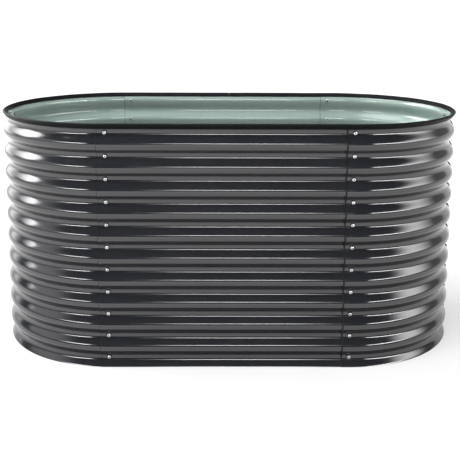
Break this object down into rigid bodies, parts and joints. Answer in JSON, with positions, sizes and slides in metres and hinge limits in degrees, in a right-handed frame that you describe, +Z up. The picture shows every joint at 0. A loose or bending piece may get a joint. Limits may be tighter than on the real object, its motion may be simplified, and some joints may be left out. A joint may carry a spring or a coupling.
{
  "type": "raised garden bed",
  "caption": "Open-bottomed oval raised garden bed of corrugated steel panels bolted at lapped seams, with a rubber rim edging and cross braces.",
  "frame": {"origin": "centre of the bed's plan, on the ground it stands on", "axes": "+X along the bed's length, -Y towards the front, +Z up"},
  "size_m": [1.5976, 0.808, 0.81],
  "materials": {
    "painted_sheet": "gloss anthracite outside, pale green inside, over zinc-coated steel sheet",
    "edging_rubber": "smooth black rubber",
    "seal_rubber": "matt black rubber",
    "zinc_fasteners": "bright zinc plating",
    "zinc_brace": "bright zinc plating"
  },
  "bodies": {
    "root": {"front_straight_panel": "painted_sheet", "front_left_curved_panel": "painted_sheet", "front_right_curved_panel": "painted_sheet", "back_straight_panel": "painted_sheet", "back_left_curved_panel": "painted_sheet", "back_right_curved_panel": "painted_sheet", "rim_edging": "edging_rubber", "front_left_bolts": "zinc_fasteners", "front_left_seals": "seal_rubber", "front_left_washers": "zinc_fasteners", "front_left_nuts": "zinc_fasteners", "front_right_bolts": "zinc_fasteners", "front_right_seals": "seal_rubber", "front_right_washers": "zinc_fasteners", "front_right_nuts": "zinc_fasteners", "right_end_bolts": "zinc_fasteners", "right_end_seals": "seal_rubber", "right_end_washers": "zinc_fasteners", "right_end_nuts": "zinc_fasteners", "back_right_bolts": "zinc_fasteners", "back_right_seals": "seal_rubber", "back_right_washers": "zinc_fasteners", "back_right_nuts": "zinc_fasteners", "back_left_bolts": "zinc_fasteners", "back_left_seals": "seal_rubber", "back_left_washers": "zinc_fasteners", "back_left_nuts": "zinc_fasteners", "left_end_bolts": "zinc_fasteners", "left_end_seals": "seal_rubber", "left_end_washers": "zinc_fasteners", "left_end_nuts": "zinc_fasteners", "left_cross_brace": "zinc_brace", "right_cross_brace": "zinc_brace"}
  },
  "joints": []
}
